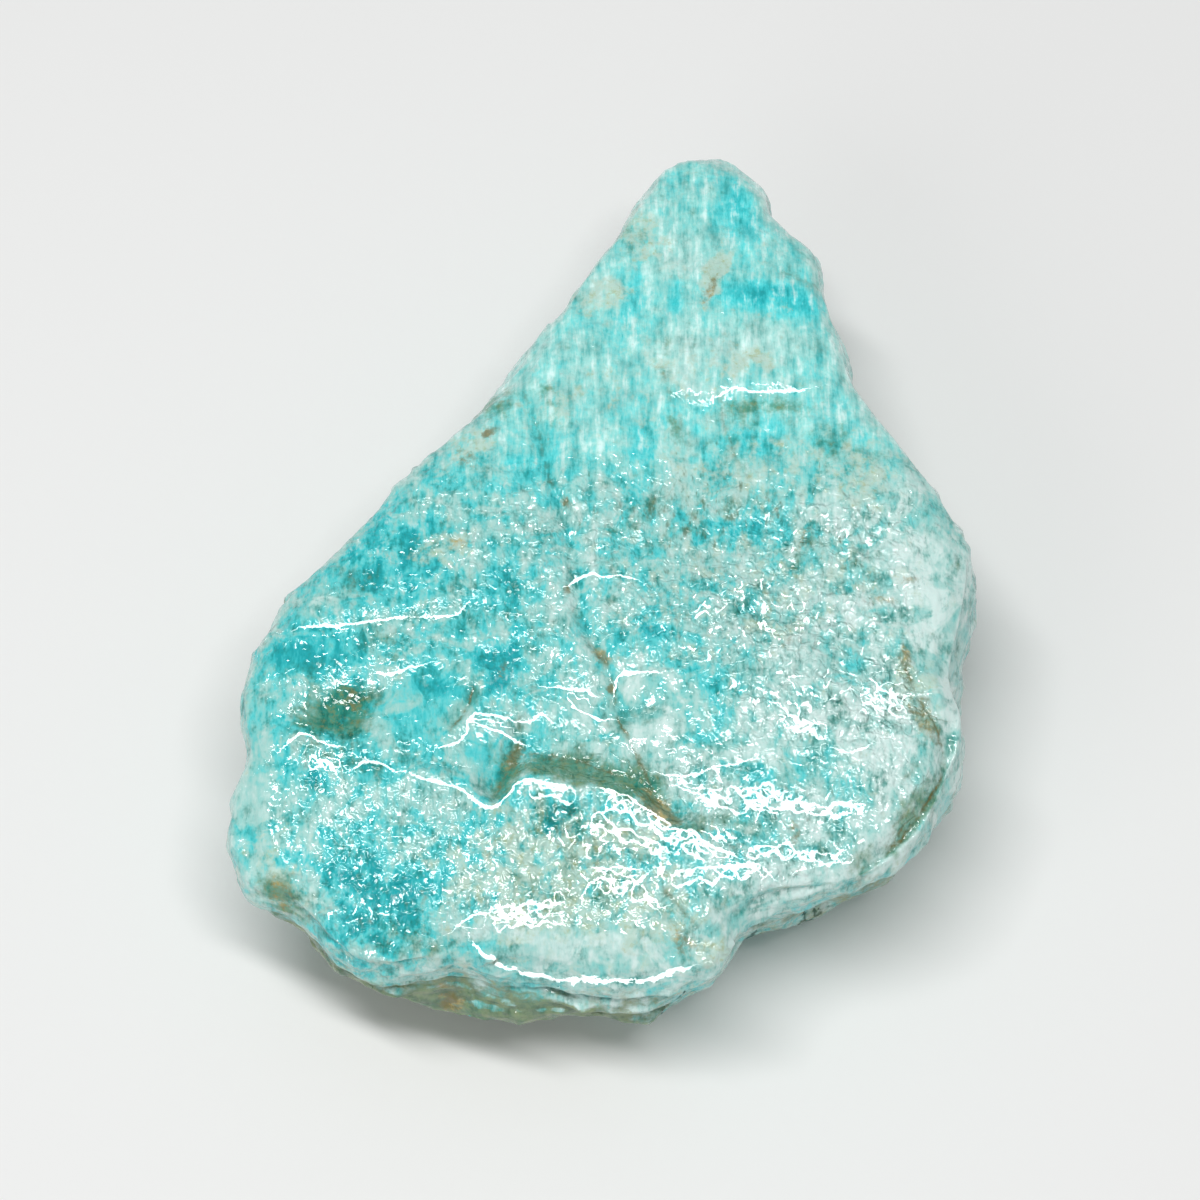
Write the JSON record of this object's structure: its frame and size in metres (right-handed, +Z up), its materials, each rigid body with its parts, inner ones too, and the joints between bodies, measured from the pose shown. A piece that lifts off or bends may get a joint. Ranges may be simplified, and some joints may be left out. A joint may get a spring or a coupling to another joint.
{
  "type": "raw amazonite stone",
  "caption": "Irregular teardrop slab of raw blue-green feldspar with an uneven broad face, a broken rim and a flat back to rest on.",
  "frame": {"origin": "middle of the footprint's bounding box, on the flat back the stone rests on", "axes": "+Z up, out of the broad face; +Y along the stone, towards its narrow end; +X to the right, seen from above"},
  "size_m": [0.0643, 0.0792, 0.0239],
  "materials": {
    "amazonite": "gloss"
  },
  "bodies": {
    "root": {"amazonite_stone": "amazonite"}
  },
  "joints": []
}
